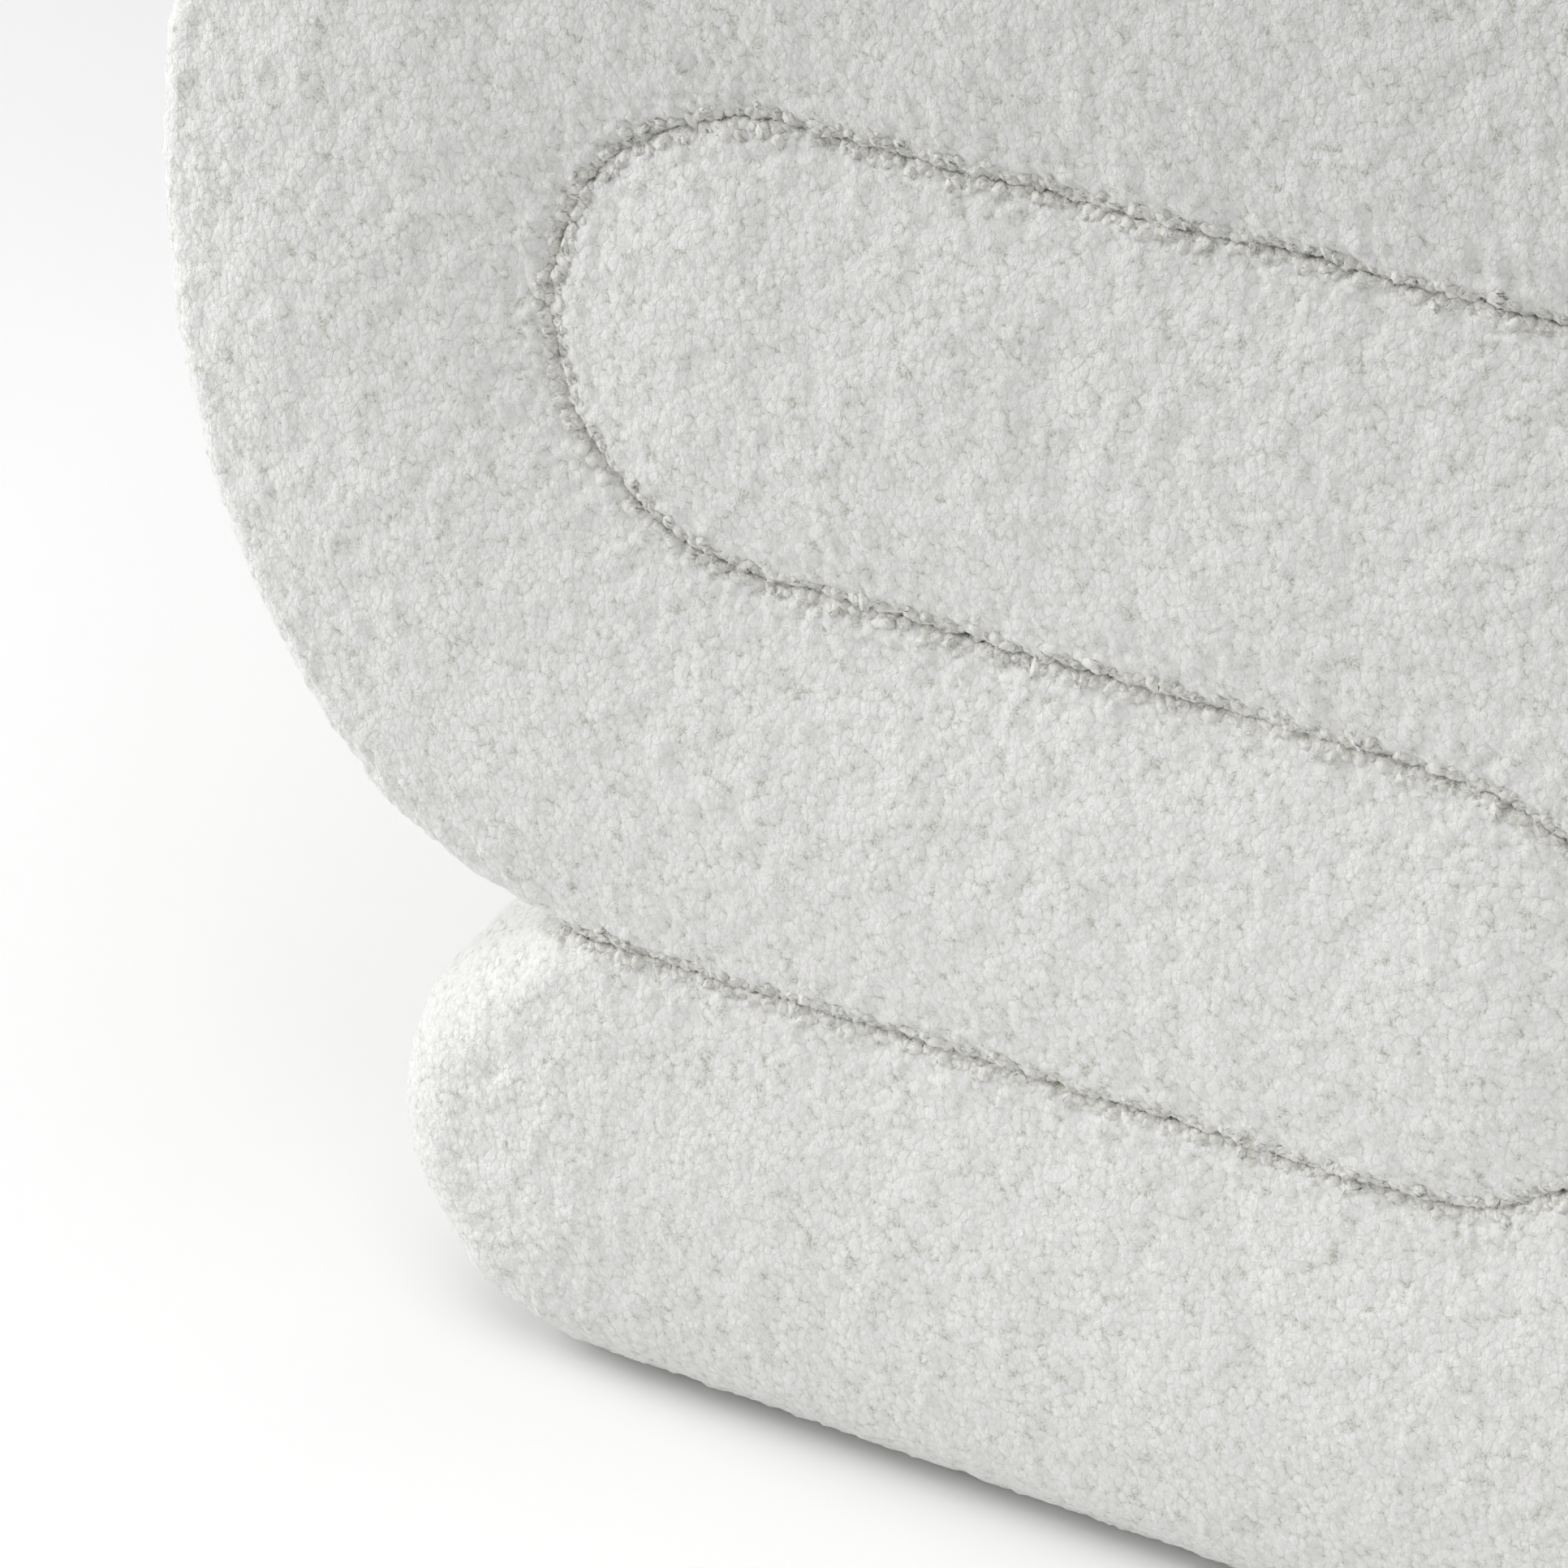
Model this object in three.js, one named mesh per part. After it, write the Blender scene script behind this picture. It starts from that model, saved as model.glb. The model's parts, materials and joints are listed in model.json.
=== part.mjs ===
// Upholstered ottoman: two padded volumes, each bent like a hook and clasped into one block.
// The lower hook is the base, the bend at the right and the arm that runs back to the left.
// The upper hook is the seat, the bend at the left and the arm that runs back to the right.
// Millimetres, +Z up, the front looks along -Y, and the origin is under the middle of the block.

import * as THREE from "three";

// Heights of the four layers, from the floor up
const baseHeight = 110;
const lowerArmHeight = 98;
const upperArmHeight = 102;
const seatHeight = 120;

// Places along X, from the middle: an arm's enclosed nose, the nose of the base or seat, and the
// middle and the reach of a bend's outer curve
const coverDepth = 430;
const tuckedNose = 74;
const openNose = 108;
const bendCentre = 107;
const bendReach = 110;

// Padding: how far the faces and the open sides swell, how round the edges are, over what
// length a groove edge turns into an open one, and how high above the floor the swell is full
const faceCrown = 3;
const outerCrown = 5;
const grooveEdge = 13;
const bendEdge = 10;
const seatEdge = 24;
const baseEdge = 22;
const shoulder = 45;
const footRise = 60;
const grooveGap = 0.6;

// Steps of the skin
const armSteps = 4;
const bendSteps = 24;
const noseSteps = 16;
const edgeSteps = 4;
const depthSteps = 4;
const faceSteps = 3;

const baseTop = baseHeight;
const lowerArmTop = baseTop + lowerArmHeight;
const upperArmTop = lowerArmTop + upperArmHeight;
const seatTop = upperArmTop + seatHeight;
const halfDepth = coverDepth / 2;
const halfGap = grooveGap / 2;

// A hook runs from its tucked nose, inside the other hook, to its open nose. towards is the side
// of its bend: 1 for the right, -1 for the left. Each arm has a hollow side and an outer side.
const lowerHook = {
  towards: 1,
  standsOnFloor: true,
  sideEdge: baseEdge,
  capEdge: baseEdge,
  tucked: { hollowZ: lowerArmTop + halfGap, outerZ: upperArmTop - halfGap },
  open: { hollowZ: baseTop - halfGap, outerZ: 0 },
};
const upperHook = {
  towards: -1,
  standsOnFloor: false,
  sideEdge: bendEdge,
  capEdge: seatEdge,
  tucked: { hollowZ: lowerArmTop - halfGap, outerZ: baseTop + halfGap },
  open: { hollowZ: upperArmTop + halfGap, outerZ: seatTop },
};

const mix = (a, b, t) => a + (b - a) * t;

function smooth(low, high, value) {
  const t = Math.min(1, Math.max(0, (value - low) / (high - low)));
  return t * t * (3 - 2 * t);
}

function onEllipse(centre, reachX, reachZ, angle) {
  return new THREE.Vector2(centre.x + reachX * Math.cos(angle), centre.y + reachZ * Math.sin(angle));
}

// Pairs of points, one on the hollow side and one on the outer side, from tucked to open nose
function hookPairs({ towards, tucked, open }) {
  const hollowCentre = new THREE.Vector2(towards * tuckedNose, (tucked.hollowZ + open.hollowZ) / 2);
  const hollowReach = Math.abs(tucked.hollowZ - open.hollowZ) / 2;
  const outerCentre = new THREE.Vector2(towards * bendCentre, (tucked.outerZ + open.outerZ) / 2);
  const outerReachZ = Math.abs(tucked.outerZ - open.outerZ) / 2;
  const pairs = [];
  const armPair = (arm, noseX, t) => {
    pairs.push({
      hollow: new THREE.Vector2(mix(noseX, hollowCentre.x, t), arm.hollowZ),
      outer: new THREE.Vector2(mix(noseX, outerCentre.x, t), arm.outerZ),
    });
  };
  for (let i = 0; i < armSteps; i += 1) {
    armPair(tucked, -towards * tuckedNose, i / armSteps);
  }
  const start = towards > 0 ? Math.PI / 2 : Math.PI * 1.5;
  for (let i = 0; i <= bendSteps; i += 1) {
    const angle = start - (Math.PI * i) / bendSteps;
    pairs.push({
      hollow: onEllipse(hollowCentre, hollowReach, hollowReach, angle),
      outer: onEllipse(outerCentre, bendReach, outerReachZ, angle),
    });
  }
  for (let i = armSteps - 1; i >= 0; i -= 1) {
    armPair(open, -towards * openNose, i / armSteps);
  }
  return pairs;
}

// How open to the air an outer point lies, from 0 in a groove to 1, how round its edge is, and
// how much of the open side's swell it takes. The side that stands on the floor stays flat.
function padding(hook, point) {
  const { towards, open } = hook;
  const pastBend = smooth(0, shoulder, towards * point.x - bendCentre);
  const pastNose = smooth(0, shoulder, -towards * point.x - openNose);
  const side = Math.max(pastBend, pastNose);
  const openArmMiddle = (open.hollowZ + open.outerZ) / 2;
  const cap = smooth(0, 1, (point.y - openArmMiddle) / (open.outerZ - openArmMiddle));
  const openness = Math.max(side, cap);
  return {
    edge: mix(grooveEdge, mix(hook.sideEdge, hook.capEdge, cap), openness),
    swell: hook.standsOnFloor ? side * smooth(0, footRise, point.y) : openness,
  };
}

// The ring of stations round a hook, each with its point on the outline, the place of its own
// point on the middle line, and its padding
function hookStations(hook) {
  const pairs = hookPairs(hook);
  const middle = pairs.map(({ hollow, outer }) => hollow.clone().add(outer).multiplyScalar(0.5));
  const inGroove = { edge: grooveEdge, swell: 0 };
  const stations = [];
  const nose = (index, start, isOpen) => {
    for (let i = 1; i < noseSteps; i += 1) {
      const point = start.clone().rotateAround(middle[index], (Math.PI * i) / noseSteps);
      stations.push({ point, index, pad: isOpen ? padding(hook, point) : inGroove });
    }
  };
  const last = pairs.length - 1;
  for (let index = 0; index <= last; index += 1) {
    stations.push({ point: pairs[index].hollow, index, pad: inGroove });
  }
  nose(last, pairs[last].hollow, true);
  for (let index = last; index >= 0; index -= 1) {
    const point = pairs[index].outer;
    stations.push({ point, index, pad: padding(hook, point) });
  }
  nose(0, pairs[0].outer, false);
  return { stations, middle };
}

// The rows of the skin from the front's middle line over the side to the back's. Each gives, for
// a station's reach from the middle line, how far out the row lies and where it is along Y.
function skinRows() {
  const face = (front, share) => (reach, pad) => ({
    out: (reach - pad.edge) * share,
    y: front * (halfDepth + faceCrown * (1 - share * share)),
  });
  const edge = (front, angle) => (reach, pad) => ({
    out: reach - pad.edge * (1 - Math.sin(angle)),
    y: front * (halfDepth - pad.edge * (1 - Math.cos(angle))),
  });
  const side = (place) => (reach, pad) => ({
    out: reach + outerCrown * pad.swell * (1 - place * place),
    y: place * (halfDepth - pad.edge),
  });
  const half = (front) => {
    const rows = [];
    for (let i = 1; i < faceSteps; i += 1) {
      rows.push(face(front, i / faceSteps));
    }
    for (let i = 0; i <= edgeSteps; i += 1) {
      rows.push(edge(front, (Math.PI / 2) * (i / edgeSteps)));
    }
    return rows;
  };
  const sides = [];
  for (let i = 1; i < depthSteps; i += 1) {
    sides.push(side(mix(-1, 1, i / depthSteps)));
  }
  return [...half(-1), ...sides, ...half(1).reverse()];
}

// The closed skin of a hook: the front's middle line, a ring for each row, the back's middle line
function hookGeometry(hook) {
  const { stations, middle } = hookStations(hook);
  const rows = skinRows();
  const points = [];
  const middleLine = (front) => {
    const start = points.length;
    for (const { x, y } of middle) {
      points.push(x, front * (halfDepth + faceCrown), y);
    }
    return (i) => start / 3 + stations[i % stations.length].index;
  };
  const ring = (row) => {
    const start = points.length;
    for (const { point, index, pad } of stations) {
      const outward = point.clone().sub(middle[index]);
      const { out, y } = row(outward.length(), pad);
      const place = outward.setLength(out).add(middle[index]);
      points.push(place.x, y, place.y);
    }
    return (i) => start / 3 + (i % stations.length);
  };
  const lines = [middleLine(-1), ...rows.map(ring), middleLine(1)];
  const faces = [];
  const triangle = (a, b, c) => {
    if (a !== b && b !== c && c !== a) {
      faces.push(a, b, c);
    }
  };
  for (let row = 1; row < lines.length; row += 1) {
    const near = lines[row - 1];
    const far = lines[row];
    for (let i = 0; i < stations.length; i += 1) {
      triangle(near(i), far(i), far(i + 1));
      triangle(near(i), far(i + 1), near(i + 1));
    }
  }
  const geometry = new THREE.BufferGeometry();
  geometry.setAttribute("position", new THREE.Float32BufferAttribute(points, 3));
  geometry.setIndex(faces);
  geometry.computeVertexNormals();
  return geometry;
}

// The cover is one off-white looped cloth
const cloth = new THREE.MeshStandardMaterial({ color: 0xd9d9d5, roughness: 0.95, metalness: 0 });

function paddedHook(name, hook) {
  const mesh = new THREE.Mesh(hookGeometry(hook), cloth.clone());
  mesh.name = name;
  return mesh;
}

const ottoman = new THREE.Group();
ottoman.add(paddedHook("lower_hook", lowerHook));
ottoman.add(paddedHook("upper_hook", upperHook));

export default ottoman;
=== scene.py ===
# Looks of an upholstered ottoman: two padded volumes, bent like hooks and clasped into one
# block, covered in an off-white looped cloth. Metres, +Z up, the front looks along -Y.

import json
import math

import bpy
import numpy as np
from mathutils import Matrix, Vector

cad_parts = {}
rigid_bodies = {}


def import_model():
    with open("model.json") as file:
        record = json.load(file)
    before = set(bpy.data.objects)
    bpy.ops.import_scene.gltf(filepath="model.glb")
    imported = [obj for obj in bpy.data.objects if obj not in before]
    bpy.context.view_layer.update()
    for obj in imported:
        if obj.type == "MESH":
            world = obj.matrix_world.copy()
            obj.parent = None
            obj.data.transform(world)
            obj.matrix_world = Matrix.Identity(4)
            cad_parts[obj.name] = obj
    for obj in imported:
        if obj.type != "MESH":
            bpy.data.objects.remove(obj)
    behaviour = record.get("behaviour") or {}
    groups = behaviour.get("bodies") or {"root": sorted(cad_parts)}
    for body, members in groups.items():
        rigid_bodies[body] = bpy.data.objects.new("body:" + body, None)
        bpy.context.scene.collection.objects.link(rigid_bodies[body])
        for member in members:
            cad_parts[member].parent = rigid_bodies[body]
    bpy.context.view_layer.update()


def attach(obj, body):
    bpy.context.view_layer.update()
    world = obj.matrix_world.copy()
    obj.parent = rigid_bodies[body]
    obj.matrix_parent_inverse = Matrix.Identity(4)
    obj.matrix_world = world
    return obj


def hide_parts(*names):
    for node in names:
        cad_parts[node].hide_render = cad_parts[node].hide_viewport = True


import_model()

# Sizes, as in the part's source
MM = 0.001
BASE_HEIGHT = 110 * MM
LOWER_ARM_HEIGHT = 98 * MM
UPPER_ARM_HEIGHT = 102 * MM
SEAT_HEIGHT = 120 * MM
COVER_DEPTH = 430 * MM
TUCKED_NOSE = 74 * MM
OPEN_NOSE = 108 * MM
BEND_CENTRE = 107 * MM
BEND_REACH = 110 * MM
FACE_CROWN = 3 * MM
OUTER_CROWN = 5 * MM
BEND_EDGE = 10 * MM
SEAT_EDGE = 24 * MM
BASE_EDGE = 22 * MM
SHOULDER = 45 * MM
FOOT_RISE = 60 * MM
GROOVE_GAP = 0.6 * MM

BASE_TOP = BASE_HEIGHT
LOWER_ARM_TOP = BASE_TOP + LOWER_ARM_HEIGHT
UPPER_ARM_TOP = LOWER_ARM_TOP + UPPER_ARM_HEIGHT
SEAT_TOP = UPPER_ARM_TOP + SEAT_HEIGHT
HALF_DEPTH = COVER_DEPTH / 2
HALF_GAP = GROOVE_GAP / 2

LOWER_HOOK = {
    "node": "lower_hook",
    "towards": 1,
    "stands_on_floor": True,
    "side_edge": BASE_EDGE,
    "cap_edge": BASE_EDGE,
    "tucked": {"hollow_z": LOWER_ARM_TOP + HALF_GAP, "outer_z": UPPER_ARM_TOP - HALF_GAP},
    "open": {"hollow_z": BASE_TOP - HALF_GAP, "outer_z": 0.0},
}
UPPER_HOOK = {
    "node": "upper_hook",
    "towards": -1,
    "stands_on_floor": False,
    "side_edge": BEND_EDGE,
    "cap_edge": SEAT_EDGE,
    "tucked": {"hollow_z": LOWER_ARM_TOP - HALF_GAP, "outer_z": BASE_TOP + HALF_GAP},
    "open": {"hollow_z": UPPER_ARM_TOP + HALF_GAP, "outer_z": SEAT_TOP},
}

FLOOR_REACH = 12.0

# Fineness of the cover. Its sides and back have every second station of its front.
COVER_MESH = {
    "pitch": 1.3 * MM,
    "bend_pitch": 1.9 * MM,
    "face_rows": 28,
    "edge_rows": 12,
    "back_face_rows": 16,
    "back_edge_rows": 7,
    "side_pitch": 3.9 * MM,
}

# The pile fills all but the mouth of a groove. The fine faces of the sides reach a little into it.
GROOVE_WIDTH = 7 * MM
GROOVE_DEPTH = 3.4 * MM
FINE_FACES_REACH = 10 * MM

# The seams have crept right and up in the middle of the front, less so towards the bends, the
# floor, the top and the back
SEAM_SLIP = np.array([4.0, 0.0, 6.0]) * MM
SLIP_END_ACROSS = BEND_CENTRE + 2 * BASE_EDGE + BEND_EDGE
SLIP_FULL_ABOVE = 0.8 * BASE_TOP
SLIP_FULL_BELOW = UPPER_ARM_TOP - UPPER_ARM_HEIGHT / 2
SLIP_DEPTH = 3 * SHOULDER

# The looped cloth's lumps, their clusters, and the unevenness of padding by hand. The pile is
# highest along the edges, and thins out in the depth of a groove and at the floor.
LUMP_SIZE = 2.5 * MM
LUMP_HEIGHT = 0.8 * MM
CLUMP_SIZE = 4.5 * MM
CLUMP_HEIGHT = 0.4 * MM
WANDER_SIZE = 6 * MM
WANDER_REACH = 1.3 * MM
HAND_SIZE = 32 * MM
HAND_HEIGHT = 1.7 * MM
FACE_PILE = 0.5
EDGE_PILE = 1.5
RIM_STARTS = 0.75
DEEP_STARTS = 0.6
DEEP_THINNING = 0.9
FLOOR_CLEARANCE = 3 * MM

# Knots of yarn along the lips of the grooves. A lip is a share of the way round a groove's edge.
KNOT_RADIUS = 1.8 * MM
KNOT_SIZES = (0.5, 1.3)
KNOT_TILT = 0.8
KNOT_SUNK = 0.65 * MM
KNOT_LOWEST = 0.2 * MM
KNOTS_PER_SQUARE_METRE = 1.4e6
FRINGE = {"front": 1.0, "back": 0.35}
LIP_STARTS = 0.42
LIP_FULL = 0.75
FRINGE_STARTS = 0.7

# Width, length and height of each kind of knot, against its radius
KNOT_KINDS = ((0.9, 1.1, 0.7), (0.7, 1.5, 0.65), (1.2, 0.85, 0.75), (0.6, 0.8, 0.65))

# The cloth's finest relief, in the shader
CURL_SIZES = {"Knot size": 1.8 * MM, "Fray size": 1.2 * MM, "Fuzz size": 0.45 * MM, "Patch size": 3.5 * MM}
CURL_RELIEF = 0.185 * MM

# The form of a curl, in sizes of a knot across and in heights of its dome
UPRIGHT_STRETCH = 0.85
DOME_FALLS = (0.1, 0.85)
RING_RADIUS = 0.4
RING_WIDTH = 0.13
RING_CHANCE = (0.2, 0.7)
RING_HEIGHT = 0.2
PATCH_HEIGHT = 0.4
KNOT_LEVELS = 0.25
# Heights of a curl below which its tone darkens as painted shade, and darkens more as the painted shade of
# a pit
SHADE_FADES = (0.6, 1.6)
PIT_SHADE_FADES = (0.5, 0.9)

# Soft troughs of the front, each a line of points across and up, in mm
TROUGHS = (
    ((-9.0, 281.0), (-7.4, 255.0), (10.9, 242.0)),
    ((39.5, 99.0), (46.4, 81.0), (53.3, 63.0)),
)
TROUGH_DEPTH = 0.8 * MM
TROUGH_WIDTH = 7 * MM


def smooth(low, high, value):
    t = np.clip((value - low) / (high - low), 0.0, 1.0)
    return t * t * (3 - 2 * t)


def mix(a, b, t):
    return a + (b - a) * t


def even(steps):
    return 2 * max(1, round(steps / 2))


# Camera, at the photograph's view of the lower left of the front
def add_camera():
    azimuth, elevation, roll = (math.radians(a) for a in (26.45, 30.97, 2.39))
    target = Vector((-0.06435, -HALF_DEPTH, 0.16905))
    distance = 1.263
    back = Vector((
        math.sin(azimuth) * math.cos(elevation),
        -math.cos(azimuth) * math.cos(elevation),
        math.sin(elevation),
    ))
    level = Vector((math.cos(azimuth), math.sin(azimuth), 0))
    upright = back.cross(level)
    right = level * math.cos(roll) + upright * math.sin(roll)
    up = back.cross(right)
    turn = Matrix((right, up, back)).transposed().to_4x4()
    camera = bpy.data.objects.new("camera", bpy.data.cameras.new("camera"))
    camera.matrix_world = Matrix.Translation(target + back * distance) @ turn
    camera.data.sensor_width = 36
    camera.data.lens = 141.5
    camera.data.clip_end = 2.5 * FLOOR_REACH
    bpy.context.scene.collection.objects.link(camera)
    bpy.context.scene.camera = camera


# The outline of a hook: stations round it, each with its point, the point of the hook's middle
# line that it belongs to, how round its edge is and how far its open side swells
def hook_outline(hook, mesh):
    towards, tucked, opened = hook["towards"], hook["tucked"], hook["open"]
    hollow_centre = np.array([towards * TUCKED_NOSE, (tucked["hollow_z"] + opened["hollow_z"]) / 2])
    hollow_reach = abs(tucked["hollow_z"] - opened["hollow_z"]) / 2
    outer_centre = np.array([towards * BEND_CENTRE, (tucked["outer_z"] + opened["outer_z"]) / 2])
    outer_reach = abs(tucked["outer_z"] - opened["outer_z"]) / 2

    def arm(sides, nose_x):
        steps = even(abs(outer_centre[0] - nose_x) / mesh["pitch"])
        t = np.arange(steps) / steps
        hollow = np.stack([mix(nose_x, hollow_centre[0], t), np.full(steps, sides["hollow_z"])], 1)
        outer = np.stack([mix(nose_x, outer_centre[0], t), np.full(steps, sides["outer_z"])], 1)
        return hollow, outer

    bend_length = math.pi * math.hypot(BEND_REACH, outer_reach) / math.sqrt(2)
    steps = even(bend_length / mesh["bend_pitch"])
    angle = (math.pi / 2 if towards > 0 else math.pi * 1.5) - math.pi * np.arange(steps + 1) / steps
    round_the_bend = np.stack([np.cos(angle), np.sin(angle)], 1)
    bend_hollow = hollow_centre + round_the_bend * hollow_reach
    bend_outer = outer_centre + round_the_bend * [BEND_REACH, outer_reach]
    tucked_arm = arm(tucked, -towards * TUCKED_NOSE)
    open_arm = arm(opened, -towards * OPEN_NOSE)
    hollow = np.concatenate([tucked_arm[0], bend_hollow, open_arm[0][::-1]])
    outer = np.concatenate([tucked_arm[1], bend_outer, open_arm[1][::-1]])
    middle = (hollow + outer) / 2

    def nose(centre, start):
        arm_x, arm_z = start - centre
        steps = even(math.pi * math.hypot(arm_x, arm_z) / mesh["pitch"])
        turn = math.pi * np.arange(1, steps) / steps
        x = centre[0] + arm_x * np.cos(turn) - arm_z * np.sin(turn)
        z = centre[1] + arm_x * np.sin(turn) + arm_z * np.cos(turn)
        return np.stack([x, z], 1)

    open_nose = nose(middle[-1], hollow[-1])
    tucked_nose = nose(middle[0], outer[0])
    count = len(hollow)
    point = np.concatenate([hollow, open_nose, outer[::-1], tucked_nose])
    index = np.concatenate([
        np.arange(count),
        np.full(len(open_nose), count - 1),
        np.arange(count)[::-1],
        np.zeros(len(tucked_nose), int),
    ])
    in_air = slice(count, count + len(open_nose) + count)
    openness, swell = np.zeros(len(point)), np.zeros(len(point))
    past_bend = smooth(0, SHOULDER, towards * point[in_air, 0] - BEND_CENTRE)
    past_nose = smooth(0, SHOULDER, -towards * point[in_air, 0] - OPEN_NOSE)
    side = np.maximum(past_bend, past_nose)
    arm_middle = (opened["hollow_z"] + opened["outer_z"]) / 2
    cap = smooth(0, 1, (point[in_air, 1] - arm_middle) / (opened["outer_z"] - arm_middle))
    openness[in_air] = np.maximum(side, cap)
    on_floor = hook["stands_on_floor"]
    swell[in_air] = side * smooth(0, FOOT_RISE, point[in_air, 1]) if on_floor else openness[in_air]
    edge, depth = np.full(len(point), GROOVE_WIDTH), np.full(len(point), GROOVE_DEPTH)
    open_edge = mix(hook["side_edge"], hook["cap_edge"], cap)
    edge[in_air] = mix(GROOVE_WIDTH, open_edge, openness[in_air])
    depth[in_air] = mix(GROOVE_DEPTH, open_edge, openness[in_air])
    seen = openness > 0
    if on_floor:
        seen &= point[:, 1] > GROOVE_GAP
    for _ in range(round(FINE_FACES_REACH / mesh["pitch"])):
        seen = seen | np.roll(seen, 1) | np.roll(seen, -1)
    return {
        "point": point, "index": index, "middle": middle, "edge": edge, "depth": depth,
        "swell": swell, "openness": openness, "seen": seen,
    }


# Slips the seams of the front, alike on both hooks
def slip_front(points):
    x, y, z = points.T
    across = 1 - smooth(BEND_CENTRE, SLIP_END_ACROSS, np.abs(x))
    above_floor = smooth(0, SLIP_FULL_ABOVE, z)
    below_top = 1 - smooth(SLIP_FULL_BELOW, SEAT_TOP, z)
    near_front = smooth(HALF_DEPTH - SLIP_DEPTH, HALF_DEPTH - GROOVE_DEPTH, -y)
    return points + (across * above_floor * below_top * near_front)[:, None] * SEAM_SLIP


# Presses the soft troughs into the front
def press_troughs(points):
    flat = points[:, [0, 2]]
    away = np.full(len(points), np.inf)
    for line in TROUGHS:
        for start, end in zip(line[:-1], line[1:]):
            origin = np.array(start) * MM
            along = np.array(end) * MM - origin
            share = np.clip((flat - origin) @ along / (along @ along), 0, 1)
            away = np.minimum(away, np.linalg.norm(flat - origin - share[:, None] * along, axis=1))
    depth = TROUGH_DEPTH * np.exp(-(away / TROUGH_WIDTH) ** 2)
    pressed = points.copy()
    pressed[:, 1] += np.where(points[:, 1] < 0, depth, 0)
    return pressed


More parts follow.
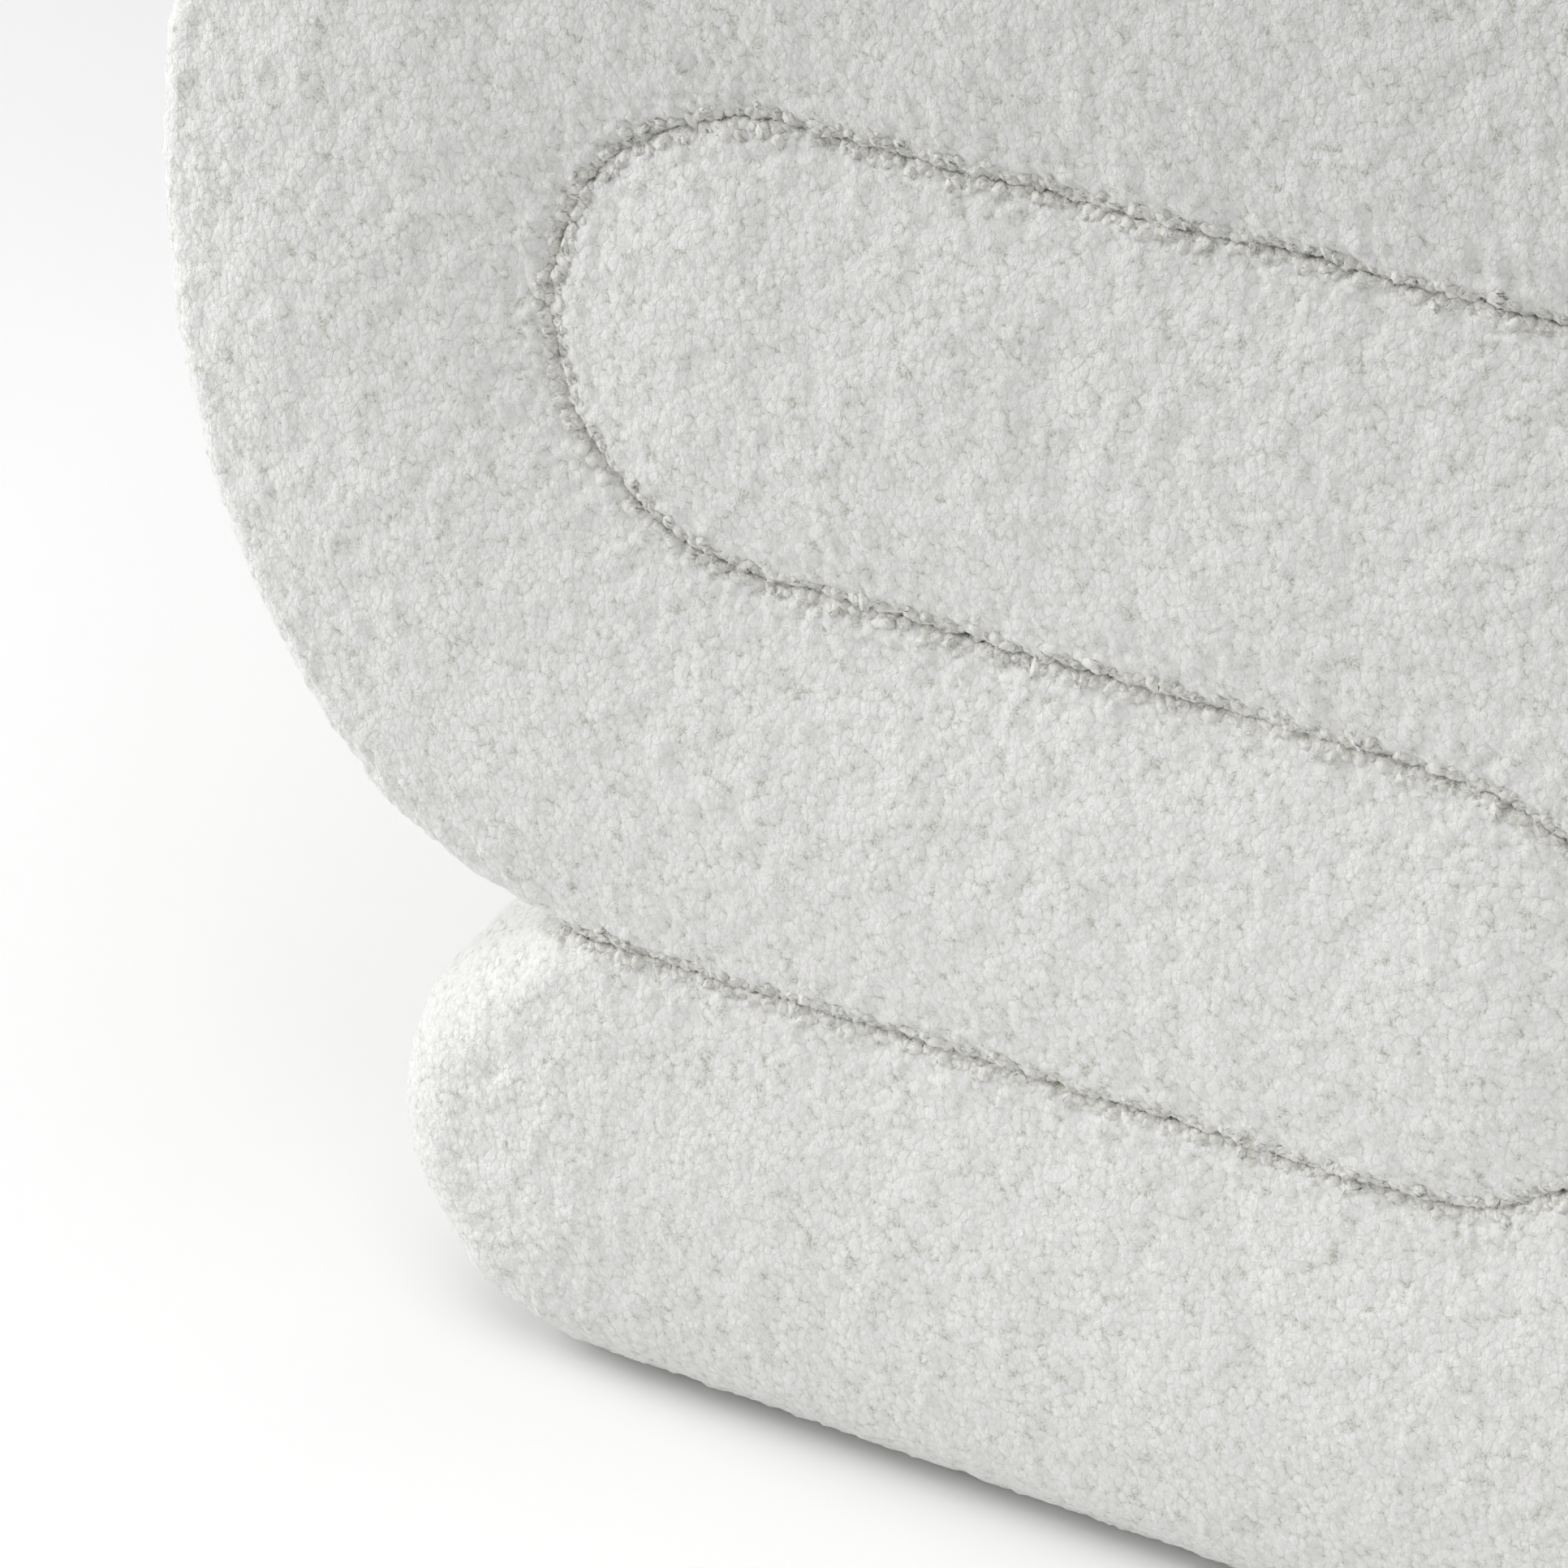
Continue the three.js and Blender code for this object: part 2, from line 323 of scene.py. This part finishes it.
# A hook's skin: rows from the front's middle line over its edge and side to the back's middle
# line. The walls inside a groove, which nothing sees, are one long face at each station.
def hook_skin(hook, mesh):
    line = hook_outline(hook, mesh)
    point, index, middle = line["point"], line["index"], line["middle"]
    edge, depth = line["edge"], line["depth"]
    stations = np.arange(len(point))
    second = stations[::2]
    next_one, next_second = np.roll(stations, -1), np.roll(stations, -2)
    outward = point - middle[index]
    reach = np.linalg.norm(outward, axis=1)
    outward /= reach[:, None]
    in_groove = 1 - line["openness"]
    points, pile, fringe, faces = [], [], [], []

    def add(at, x_and_z, y, cover, knots):
        start = sum(len(p) for p in points)
        points.append(np.stack([x_and_z[:, 0], np.broadcast_to(y, len(at)), x_and_z[:, 1]], 1))
        pile.append(np.broadcast_to(cover, len(at)))
        fringe.append(np.broadcast_to(knots, len(at)))
        row = np.full(len(stations), -1)
        row[at] = start + np.arange(len(at))
        return row

    def middle_row(front):
        bends = np.arange(len(middle))
        start = sum(len(p) for p in points)
        add(bends, middle, front * (HALF_DEPTH + FACE_CROWN), FACE_PILE, 0.0)
        return start + index

    def face_row(front, at, share):
        flat = middle[index] + outward * ((reach - edge) * share)[:, None]
        y = front * (HALF_DEPTH + FACE_CROWN * (1 - share * share))
        rim = smooth(RIM_STARTS, 1.0, share)
        return add(at, flat[at], y, mix(FACE_PILE, EDGE_PILE, rim), 0.0)

    def edge_row(front, at, share):
        deep = smooth(DEEP_STARTS, 1.0, share)
        angle = share * math.pi / 2
        flat = middle[index] + outward * (reach - edge * (1 - math.sin(angle)))[:, None]
        y = front * (HALF_DEPTH - depth * (1 - math.cos(angle)))
        lip = smooth(LIP_STARTS, LIP_FULL, share) * (share < 1)
        most = FRINGE["front"] if front < 0 else FRINGE["back"]
        knots = most * lip * smooth(FRINGE_STARTS, 1.0, in_groove)
        cover = EDGE_PILE * (1 - DEEP_THINNING * deep * in_groove)
        return add(at, flat[at], y[at], cover[at], knots[at])

    def side_row(at, share):
        place = mix(-1, 1, share)
        out = reach + OUTER_CROWN * line["swell"] * (1 - place * place)
        flat = middle[index] + outward * out[:, None]
        return add(at, flat[at], (place * (HALF_DEPTH - depth))[at], line["openness"][at], 0.0)

    def half(front, at, face_rows, edge_rows):
        rows = [middle_row(front)]
        rows += [face_row(front, at, i / face_rows) for i in range(1, face_rows)]
        rows += [edge_row(front, at, i / edge_rows) for i in range(edge_rows + 1)]
        return rows

    def band(rows, at, after):
        for near, far in zip(rows[:-1], rows[1:]):
            faces.append(np.stack([near[at], far[at], far[after[at]], near[after[at]]], 1))

    front_rows = half(-1, stations, mesh["face_rows"], mesh["edge_rows"])
    back_rows = half(1, second, mesh["back_face_rows"], mesh["back_edge_rows"])[::-1]
    seen = line["seen"][second]
    seen_next = line["seen"][next_second[second]]
    side_count = round(COVER_DEPTH / mesh["side_pitch"])
    side_rows = [side_row(second[seen], i / side_count) for i in range(1, side_count)]
    side_rows.append(back_rows[0])
    front_ring, back_ring = front_rows[-1], back_rows[0]

    def join_front_ring(far, at):
        corners = [front_ring[at], far[at], far[next_second[at]], front_ring[next_second[at]]]
        faces.append(np.stack(corners + [front_ring[next_one[at]]], 1))

    band(front_rows, stations, next_one)
    band(back_rows, second, next_second)
    band(side_rows, second[seen & seen_next], next_second)
    join_front_ring(side_rows[0], second[seen & seen_next])
    join_front_ring(back_ring, second[~seen & ~seen_next])
    for i in second[seen & ~seen_next]:
        far_corner, half_way = front_ring[next_second[i]], front_ring[next_one[i]]
        side_corner = side_rows[0][i]
        faces.append(np.array([
            [front_ring[i], side_corner, half_way],
            [side_corner, far_corner, half_way],
        ]))
        fan = [[near[i], far[i], far_corner] for near, far in zip(side_rows[:-1], side_rows[1:])]
        faces.append(np.array(fan + [[back_ring[i], back_ring[next_second[i]], far_corner]]))
    for i in second[~seen & seen_next]:
        j = next_second[i]
        side_corner, half_way = side_rows[0][j], front_ring[next_one[i]]
        faces.append(np.array([
            [front_ring[i], side_corner, half_way],
            [side_corner, front_ring[j], half_way],
        ]))
        fan = [[front_ring[i], far[j], near[j]] for near, far in zip(side_rows[:-1], side_rows[1:])]
        faces.append(np.array(fan + [[front_ring[i], back_ring[i], back_ring[j]]]))
    points, pile, fringe = np.concatenate(points), np.concatenate(pile), np.concatenate(fringe)
    points = press_troughs(slip_front(points))
    if hook["stands_on_floor"]:
        off_floor = smooth(0, FLOOR_CLEARANCE, points[:, 2])
        pile, fringe = pile * off_floor, fringe * off_floor
    return points, faces, {"pile": pile, "fringe": fringe}


# A mesh from points and arrays of faces, without collapsed corners
def make_mesh(name, points, faces, layers):
    corners, sizes = [], []
    for group in faces:
        if group.shape[1] == 4:
            for first, last, kept in ((0, 3, (0, 1, 2)), (1, 2, (0, 1, 3))):
                collapsed = group[:, first] == group[:, last]
                corners.append(group[collapsed][:, kept].ravel())
                sizes.append(np.full(collapsed.sum(), 3))
                group = group[~collapsed]
        corners.append(group.ravel())
        sizes.append(np.full(len(group), group.shape[1]))
    corners, sizes = np.concatenate(corners), np.concatenate(sizes)
    starts = np.cumsum(sizes) - sizes
    mesh = bpy.data.meshes.new(name)
    mesh.vertices.add(len(points))
    mesh.vertices.foreach_set("co", points.astype(np.float32).ravel())
    mesh.loops.add(len(corners))
    mesh.loops.foreach_set("vertex_index", corners.astype(np.int32))
    mesh.polygons.add(len(sizes))
    mesh.polygons.foreach_set("loop_start", starts.astype(np.int32))
    mesh.polygons.foreach_set("use_smooth", np.ones(len(sizes), bool))
    mesh.update(calc_edges=True)
    for layer, values in layers.items():
        attribute = mesh.attributes.new(layer, "FLOAT", "POINT")
        attribute.data.foreach_set("value", values.astype(np.float32))
    piece = bpy.data.objects.new(name, mesh)
    bpy.context.scene.collection.objects.link(piece)
    return piece


# Node trees: a short way to add and join nodes
class Tree:
    def __init__(self, tree):
        self.tree = tree

    def add(self, kind, inputs=None, **settings):
        node = self.tree.nodes.new(kind)
        for name, value in settings.items():
            setattr(node, name, value)
        for key, value in (inputs or {}).items():
            socket = node.inputs[key]
            if isinstance(value, bpy.types.NodeSocket):
                self.tree.links.new(value, socket)
            else:
                socket.default_value = value
        return node

    def math(self, operation, a, b=0.0, c=0.0):
        return self.add("ShaderNodeMath", {0: a, 1: b, 2: c}, operation=operation).outputs[0]

    def vector(self, operation, a, b=(0.0, 0.0, 0.0)):
        return self.add("ShaderNodeVectorMath", {0: a, 1: b}, operation=operation).outputs[0]

    def scaled(self, a, factor):
        return self.add("ShaderNodeVectorMath", {0: a, "Scale": factor}, operation="SCALE").outputs[0]

    def noise(self, place, size, detail, output="Fac"):
        frequency = self.math("DIVIDE", 1.0, size)
        inputs = {"Vector": place, "Scale": frequency, "Detail": detail}
        return self.add("ShaderNodeTexNoise", inputs).outputs[output]

    def cells(self, place, size):
        frequency = self.math("DIVIDE", 1.0, size)
        node = self.add("ShaderNodeTexVoronoi", {"Vector": place, "Scale": frequency}, feature="F1")
        return node.outputs["Distance"], node.outputs["Color"]

    def ramp(self, value, low, high):
        inputs = {"Value": value, "From Min": low, "From Max": high}
        return self.add("ShaderNodeMapRange", inputs, interpolation_type="SMOOTHSTEP").outputs[0]

    def blend(self, factor, a, b):
        return self.add("ShaderNodeMix", {"Factor": factor, 6: a, 7: b}, data_type="RGBA").outputs[2]

    def interface(self, direction, kind, *names):
        return [self.tree.interface.new_socket(n, in_out=direction, socket_type=kind) for n in names]


def apply_tree(piece, tree, values):
    modifier = piece.modifiers.new(tree.name, "NODES")
    modifier.node_group = tree
    sockets = {s.name: s.identifier for s in tree.interface.items_tree if s.item_type == "SOCKET"}
    for name, value in values.items():
        modifier[sockets[name]] = value
    evaluated = piece.evaluated_get(bpy.context.evaluated_depsgraph_get())
    mesh = bpy.data.meshes.new_from_object(evaluated)
    piece.modifiers.clear()
    return mesh


# Raises the lumps of the cloth, their clusters and the soft unevenness of hand padding
def pile_tree(material):
    tree = Tree(bpy.data.node_groups.new("raise_pile", "GeometryNodeTree"))
    tree.interface("INPUT", "NodeSocketGeometry", "Geometry")
    tree.interface(
        "INPUT", "NodeSocketFloat",
        "Lump size", "Lump height", "Clump size", "Clump height",
        "Wander size", "Wander reach", "Hand size", "Hand height",
    )
    tree.interface("OUTPUT", "NodeSocketGeometry", "Geometry")
    given = tree.add("NodeGroupInput").outputs
    place = tree.add("GeometryNodeInputPosition").outputs[0]
    away, _ = tree.cells(place, given["Lump size"])
    lump = tree.math("MULTIPLY", tree.math("SUBTRACT", 0.5, away), given["Lump height"])
    away, _ = tree.cells(place, given["Clump size"])
    clump = tree.math("MULTIPLY", tree.math("SUBTRACT", 0.5, away), given["Clump height"])
    cover = tree.add("GeometryNodeInputNamedAttribute", {"Name": "pile"}, data_type="FLOAT").outputs[0]
    normal = tree.add("GeometryNodeInputNormal").outputs[0]
    height = tree.math("MULTIPLY", tree.math("ADD", lump, clump), cover)
    drifts = []
    for size, reach in (("Wander size", "Wander reach"), ("Hand size", "Hand height")):
        field = tree.noise(place, given[size], 0.0, "Color")
        drifts.append(tree.scaled(tree.vector("SUBTRACT", field, (0.5, 0.5, 0.5)), given[reach]))
    above_floor = tree.add("ShaderNodeSeparateXYZ", {0: place}).outputs["Z"]
    drift = tree.scaled(tree.vector("ADD", *drifts), tree.ramp(above_floor, 0.0, given["Hand size"]))
    offset = tree.vector("ADD", tree.scaled(normal, height), drift)
    moved = tree.add("GeometryNodeSetPosition", {"Geometry": given["Geometry"], "Offset": offset})
    named = tree.add("GeometryNodeSetMaterial", {"Geometry": moved.outputs[0], "Material": material})
    tree.add("NodeGroupOutput", {"Geometry": named.outputs[0]})
    return tree.tree


# A curly knot of yarn: a small lump of a few faces, longer, flatter or rounder
def yarn_knot(name, wide, long, tall):
    rings, around = 4, 6
    points = [[0, 0, -1]]
    for ring in range(1, rings):
        tilt = math.pi * ring / rings
        for step in range(around):
            turn = 2 * math.pi * (step + ring / 2) / around
            flat = math.sin(tilt)
            points.append([flat * math.cos(turn), flat * math.sin(turn), -math.cos(tilt)])
    points.append([0, 0, 1])
    last = len(points) - 1
    top = 1 + (rings - 2) * around
    faces = []
    for step in range(around):
        after = (step + 1) % around
        faces.append(np.array([[0, 1 + after, 1 + step]]))
        faces.append(np.array([[last, top + step, top + after]]))
        for ring in range(rings - 2):
            low, high = 1 + ring * around, 1 + (ring + 1) * around
            faces.append(np.array([[low + step, low + after, high + after, high + step]]))
    return make_mesh(name, np.array(points) * np.array([wide, long, tall]) * KNOT_RADIUS, faces, {})


# Strews knots over a cover, as thickly as its fringe says: turned, tilted, sunk a little and each
# of its own size
def knots_tree(knots, material):
    tree = Tree(bpy.data.node_groups.new("strew_knots", "GeometryNodeTree"))
    tree.interface("INPUT", "NodeSocketGeometry", "Geometry")
    tree.interface("INPUT", "NodeSocketFloat", "Knots per square metre", "Sunk", "Lowest")
    tree.interface("INPUT", "NodeSocketInt", "Seed")
    tree.interface("OUTPUT", "NodeSocketGeometry", "Geometry")
    given = tree.add("NodeGroupInput").outputs
    seed = given["Seed"]
    fringe = tree.add("GeometryNodeInputNamedAttribute", {"Name": "fringe"}, data_type="FLOAT").outputs[0]
    density = tree.math("MULTIPLY", fringe, given["Knots per square metre"])
    spread = tree.add(
        "GeometryNodeDistributePointsOnFaces",
        {"Mesh": given["Geometry"], "Density": density, "Seed": seed},
    )
    least, most = (-KNOT_TILT, -KNOT_TILT, -math.pi), (KNOT_TILT, KNOT_TILT, math.pi)
    spin = tree.add(
        "FunctionNodeRandomValue", {0: least, 1: most, "Seed": seed}, data_type="FLOAT_VECTOR",
    ).outputs[0]
    turned = tree.add(
        "FunctionNodeRotateRotation", {"Rotation": spread.outputs["Rotation"], "Rotate By": spin},
        rotation_space="LOCAL",
    ).outputs[0]
    least, most = KNOT_SIZES
    size = tree.add(
        "FunctionNodeRandomValue", {2: least, 3: most, "Seed": seed}, data_type="FLOAT",
    ).outputs[1]
    sunk = tree.scaled(spread.outputs["Normal"], tree.math("MULTIPLY", given["Sunk"], -1.0))
    placed = tree.add("GeometryNodeSetPosition", {"Geometry": spread.outputs["Points"], "Offset": sunk})
    kinds = tree.add(
        "GeometryNodeCollectionInfo",
        {"Collection": knots, "Separate Children": True, "Reset Children": True},
    )
    strewn = tree.add(
        "GeometryNodeInstanceOnPoints",
        {"Points": placed.outputs[0], "Instance": kinds.outputs[0], "Pick Instance": True,
         "Rotation": turned, "Scale": size},
    )
    real = tree.add("GeometryNodeRealizeInstances", {"Geometry": strewn.outputs[0]})
    place = tree.add("GeometryNodeInputPosition").outputs[0]
    off_floor = tree.add(
        "ShaderNodeCombineXYZ", {"X": -FLOOR_REACH, "Y": -FLOOR_REACH, "Z": given["Lowest"]},
    ).outputs[0]
    lifted = tree.add(
        "GeometryNodeSetPosition",
        {"Geometry": real.outputs[0], "Position": tree.vector("MAXIMUM", place, off_floor)},
    )
    named = tree.add("GeometryNodeSetMaterial", {"Geometry": lifted.outputs[0], "Material": material})
    tree.add("NodeGroupOutput", {"Geometry": named.outputs[0]})
    return tree.tree


# The cloth's fine relief and tone: round curly knots of yarn, some with a ring, and small pits where
# knots part. The tone holds painted shade, darker the lower the relief and darkest in the pits.
def curly_knots_group():
    tree = Tree(bpy.data.node_groups.new("curly_knots", "ShaderNodeTree"))
    tree.interface("INPUT", "NodeSocketVector", "Place")
    tree.interface("INPUT", "NodeSocketFloat", "Knot size", "Fray size", "Fuzz size", "Patch size")
    tree.interface("INPUT", "NodeSocketColor", "Yarn", "Shade", "Pit shade", "Ring highlight")
    tree.interface("OUTPUT", "NodeSocketColor", "Color")
    tree.interface("OUTPUT", "NodeSocketFloat", "Height")
    given = tree.add("NodeGroupInput").outputs
    place = tree.vector("MULTIPLY", given["Place"], (1.0, 1.0, UPRIGHT_STRETCH))
    fray = tree.noise(place, given["Fray size"], 0.0, "Color")
    fray = tree.vector("SUBTRACT", fray, (0.5, 0.5, 0.5))
    frayed = tree.vector("ADD", place, tree.scaled(fray, given["Fray size"]))
    away, kind = tree.cells(frayed, given["Knot size"])
    kind = tree.add("ShaderNodeSeparateXYZ", {0: kind}).outputs
    fuzz = tree.noise(frayed, given["Fuzz size"], 1.0)
    patch = tree.noise(place, given["Patch size"], 1.0)
    dome = tree.math("SUBTRACT", 1.0, tree.ramp(away, *DOME_FALLS))
    ring = tree.math("ABSOLUTE", tree.math("SUBTRACT", away, RING_RADIUS))
    ring = tree.math("SUBTRACT", 1.0, tree.ramp(ring, 0.0, RING_WIDTH))
    ring = tree.math("MULTIPLY", ring, tree.ramp(kind["X"], *RING_CHANCE))
    height = tree.math("MULTIPLY_ADD", ring, RING_HEIGHT, dome)
    height = tree.math("ADD", fuzz, height)
    height = tree.math("MULTIPLY_ADD", patch, PATCH_HEIGHT, height)
    level = tree.math("MULTIPLY_ADD", kind["Y"], KNOT_LEVELS, height)
    # Painted shade: the lower a curl's surface, the darker its tone, down to the dark of the pits
    shade = tree.math("SUBTRACT", 1.0, tree.ramp(level, *SHADE_FADES))
    pit_shade = tree.math("SUBTRACT", 1.0, tree.ramp(level, *PIT_SHADE_FADES))
    tone = tree.blend(shade, given["Yarn"], given["Shade"])
    # Painted highlight: the rings of some knots are painted lighter than the yarn
    tone = tree.blend(ring, tone, given["Ring highlight"])
    tone = tree.blend(pit_shade, tone, given["Pit shade"])
    tree.add("NodeGroupOutput", {"Color": tone, "Height": height})
    return tree.tree


# A cloth of curly knots in its own set of tones, painted shade and a painted highlight among them
def cloth_material(name, group, tones):
    material = bpy.data.materials.new(name)
    material.use_nodes = True
    tree = Tree(material.node_tree)
    shader = material.node_tree.nodes["Principled BSDF"]
    place = tree.add("ShaderNodeTexCoord").outputs["Object"]
    pile = tree.add("ShaderNodeGroup", node_tree=group)
    tree.tree.links.new(place, pile.inputs["Place"])
    for socket, value in {**CURL_SIZES, **tones}.items():
        pile.inputs[socket].default_value = value
    relief = {"Height": pile.outputs["Height"], "Distance": CURL_RELIEF, "Strength": 1.0}
    bump = tree.add("ShaderNodeBump", relief)
    tree.tree.links.new(pile.outputs["Color"], shader.inputs["Base Color"])
    tree.tree.links.new(bump.outputs[0], shader.inputs["Normal"])
    shader.inputs["Roughness"].default_value = 0.95
    shader.inputs["Specular IOR Level"].default_value = 0.15
    shader.inputs["Sheen Weight"].default_value = 0.2
    shader.inputs["Sheen Roughness"].default_value = 0.6
    return material


# A pale, matt floor
def floor_material():
    material = bpy.data.materials.new("pale_floor")
    material.use_nodes = True
    shader = material.node_tree.nodes["Principled BSDF"]
    shader.inputs["Base Color"].default_value = (0.93, 0.93, 0.93, 1)
    shader.inputs["Roughness"].default_value = 0.9
    shader.inputs["Specular IOR Level"].default_value = 0.1
    return material


def add_floor():
    corners = [[-1, -1, 0], [1, -1, 0], [1, 1, 0], [-1, 1, 0]]
    floor = make_mesh("floor", np.array(corners) * FLOOR_REACH, [np.array([[0, 1, 2, 3]])], {})
    floor.data.materials.append(floor_material())


# Soft lights: a pale sky, a broad one overhead, one from the left and a weak narrow one low in front
def add_light(name, place, size, power, aim, spread=math.pi):
    lamp = bpy.data.lights.new(name, "AREA")
    lamp.shape = "RECTANGLE"
    lamp.size, lamp.size_y = size
    lamp.energy = power
    lamp.spread = spread
    light = bpy.data.objects.new(name, lamp)
    light.location = place
    light.rotation_euler = (Vector(aim) - Vector(place)).to_track_quat("-Z", "Y").to_euler()
    bpy.context.scene.collection.objects.link(light)


def light_scene():
    world = bpy.data.worlds.new("white_room")
    bpy.context.scene.world = world
    world.use_nodes = True
    sky = world.node_tree.nodes["Background"]
    sky.inputs["Color"].default_value = (1, 1, 1, 1)
    sky.inputs["Strength"].default_value = 0.26
    add_light("overhead", place=(0.0, -0.7, 2.4), size=(2.4, 2.0), power=35.6, aim=(0, -0.3, 0))
    add_light("left_side", place=(-2.2, -0.6, 0.8), size=(1.4, 1.4), power=39.2, aim=(0, -0.2, 0.15))
    add_light(
        "low_front", place=(0.35, -1.5, 0.35), size=(0.4, 0.25), power=0.085,
        aim=(0.06, -0.2, 0.12), spread=math.radians(24),
    )
    bpy.context.scene.view_settings.view_transform = "Standard"
    bpy.context.scene.view_settings.look = "None"


add_camera()
add_floor()
light_scene()
curly_knots = curly_knots_group()
# The yarn tone is the cloth's own colour; the shade and pit tones are painted shade, and the ring tone is
# a painted highlight
looped_cloth = cloth_material("looped_cloth", curly_knots, {
    "Yarn": (0.755, 0.75, 0.738, 1), "Shade": (0.675, 0.675, 0.65, 1),
    "Pit shade": (0.43, 0.43, 0.37, 1), "Ring highlight": (0.81, 0.807, 0.796, 1),
})
# Painted shade: the knots in the grooves get a warmer, more olive copy of the cloth's tones for the shade
# they cast on one another, with pits painted lighter for the light that passes through the yarn
groove_shade_cloth = cloth_material("groove_shade_cloth", curly_knots, {
    "Yarn": (0.76, 0.754, 0.727, 1), "Shade": (0.68, 0.677, 0.636, 1),
    "Pit shade": (0.53, 0.53, 0.45, 1), "Ring highlight": (0.81, 0.805, 0.782, 1),
})

knots = bpy.data.collections.new("yarn_knots")
bpy.context.scene.collection.children.link(knots)
for number, kind in enumerate(KNOT_KINDS):
    knot = yarn_knot(f"yarn_knot_{number}", *kind)
    bpy.context.scene.collection.objects.unlink(knot)
    knots.objects.link(knot)

raise_pile = pile_tree(looped_cloth)
strew_knots = knots_tree(knots, groove_shade_cloth)
for seed, hook in enumerate((LOWER_HOOK, UPPER_HOOK)):
    cover = make_mesh(hook["node"] + "_cover", *hook_skin(hook, COVER_MESH))
    cover.data = apply_tree(cover, raise_pile, {
        "Lump size": LUMP_SIZE, "Lump height": LUMP_HEIGHT,
        "Clump size": CLUMP_SIZE, "Clump height": CLUMP_HEIGHT,
        "Wander size": WANDER_SIZE, "Wander reach": WANDER_REACH,
        "Hand size": HAND_SIZE, "Hand height": HAND_HEIGHT,
    })
    strewn = apply_tree(cover, strew_knots, {
        "Knots per square metre": KNOTS_PER_SQUARE_METRE, "Sunk": KNOT_SUNK,
        "Lowest": KNOT_LOWEST, "Seed": seed,
    })
    loops = bpy.data.objects.new(hook["node"] + "_loops", strewn)
    bpy.context.scene.collection.objects.link(loops)
    for piece in (cover, loops):
        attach(piece, "root")
    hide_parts(hook["node"])

for knot in list(knots.objects):
    bpy.data.objects.remove(knot)
bpy.data.collections.remove(knots)
